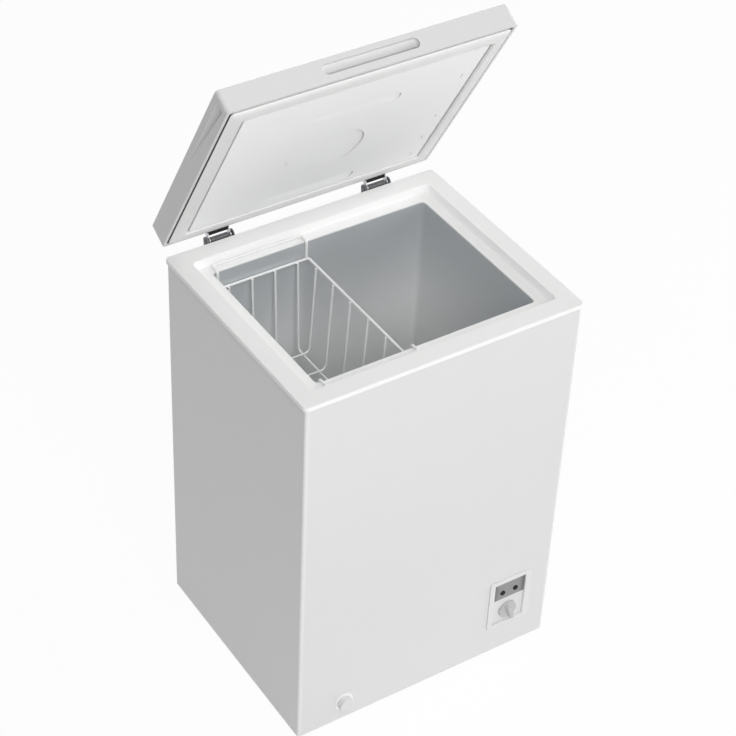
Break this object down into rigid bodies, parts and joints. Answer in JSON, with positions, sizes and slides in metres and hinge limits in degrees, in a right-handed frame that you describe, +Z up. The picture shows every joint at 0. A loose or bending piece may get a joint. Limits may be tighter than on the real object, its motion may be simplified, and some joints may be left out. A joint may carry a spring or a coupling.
{
  "type": "chest freezer",
  "caption": "Small upright-standing chest freezer with a hinged lid held open, a hanging wire basket, a recessed thermostat panel and a drain in the front.",
  "frame": {"origin": "on the floor under the middle of the whole freezer with its lid open, 19.2 mm behind the middle of the cabinet", "axes": "+X to the right seen from the front, +Y to the rear, +Z up"},
  "size_m": [0.558, 0.5304, 1.2351],
  "materials": {
    "white_paint": "smooth gloss",
    "rear_paint": "smooth satin",
    "zinc_sheet": "bright zinc",
    "liner_sheet": "embossed satin",
    "white_moulding": "smooth gloss",
    "lid_moulding": "smooth satin",
    "gasket_vinyl": "soft satin",
    "foam": "rigid foam",
    "dark_rubber": "matte",
    "black_paint": "smooth gloss",
    "black_plastic": "matte",
    "grey_plastic": "satin",
    "copper": "drawn tube",
    "tube_aluminium": "drawn tube",
    "coated_wire": "dipped gloss",
    "lamp_lens": "smoked lens",
    "strip_grey": "printed satin"
  },
  "bodies": {
    "cabinet": {"outer_wrapper": "white_paint", "rear_panel": "rear_paint", "base_plate": "zinc_sheet", "foam_insulation": "foam", "inner_liner": "liner_sheet", "top_collar": "white_moulding", "foot_front_left": "dark_rubber", "foot_front_right": "dark_rubber", "foot_rear_left": "dark_rubber", "foot_rear_right": "dark_rubber", "bay_panel": "zinc_sheet", "rear_grille": "grey_plastic", "grille_screws": "zinc_sheet", "cord_gland": "black_plastic", "control_bezel": "white_moulding", "lamp_strip": "strip_grey", "power_lamp": "lamp_lens", "run_lamp": "lamp_lens", "thermostat_body": "zinc_sheet", "thermostat_capillary": "copper", "drain_spout": "white_moulding", "drain_sump": "white_moulding", "evaporator_coil": "tube_aluminium", "condenser_coil": "copper", "compressor_shell": "black_paint", "compressor_plate": "black_paint", "compressor_grommets": "dark_rubber", "compressor_studs": "zinc_sheet", "terminal_cover": "black_plastic", "suction_pipe": "copper", "discharge_pipe": "copper", "process_tube": "copper", "filter_drier": "copper", "capillary_tube": "copper", "wiring_loom": "black_plastic", "hinge_bracket_left": "zinc_sheet", "hinge_bracket_right": "zinc_sheet", "hinge_pin_left": "zinc_sheet", "hinge_pin_right": "zinc_sheet", "hinge_spring_left": "zinc_sheet", "hinge_spring_right": "zinc_sheet", "hinge_screws": "zinc_sheet"},
    "lid": {"lid_outer": "lid_moulding", "handle_cup": "lid_moulding", "lid_foam": "foam", "lid_liner": "lid_moulding", "lid_gasket": "gasket_vinyl", "hinge_leaf_left": "black_paint", "hinge_leaf_right": "black_paint", "lid_screws": "zinc_sheet"},
    "basket": {"basket_rim": "coated_wire", "basket_cross_wires": "coated_wire", "basket_long_wires": "coated_wire", "basket_hangers": "coated_wire"},
    "thermostat_knob": {"thermostat_knob": "white_moulding"},
    "drain_cap": {"drain_cap": "white_moulding"},
    "drain_plug": {"drain_plug": "grey_plastic"}
  },
  "joints": [
    {"name": "lid_hinge", "type": "hinge", "parent": "cabinet", "child": "lid", "pos_m": [0, 0.2263, 0.7955], "axis": [-1, 0, 0], "range_deg": [-60, 15]},
    {"name": "basket_slide", "type": "slide", "parent": "cabinet", "child": "basket", "axis": [1, 0, 0], "range_m": [-0.001, 0.24]},
    {"name": "thermostat_turn", "type": "hinge", "parent": "cabinet", "child": "thermostat_knob", "pos_m": [0.1845, -0.2542, 0.1075], "axis": [0, -1, 0], "range_deg": [-135, 135]},
    {"name": "drain_cap_pull", "type": "slide", "parent": "cabinet", "child": "drain_cap", "axis": [0, -1, 0], "range_m": [0, 0.03]},
    {"name": "drain_plug_lift", "type": "slide", "parent": "cabinet", "child": "drain_plug", "axis": [0, 0, 1], "range_m": [0, 0.03]}
  ]
}
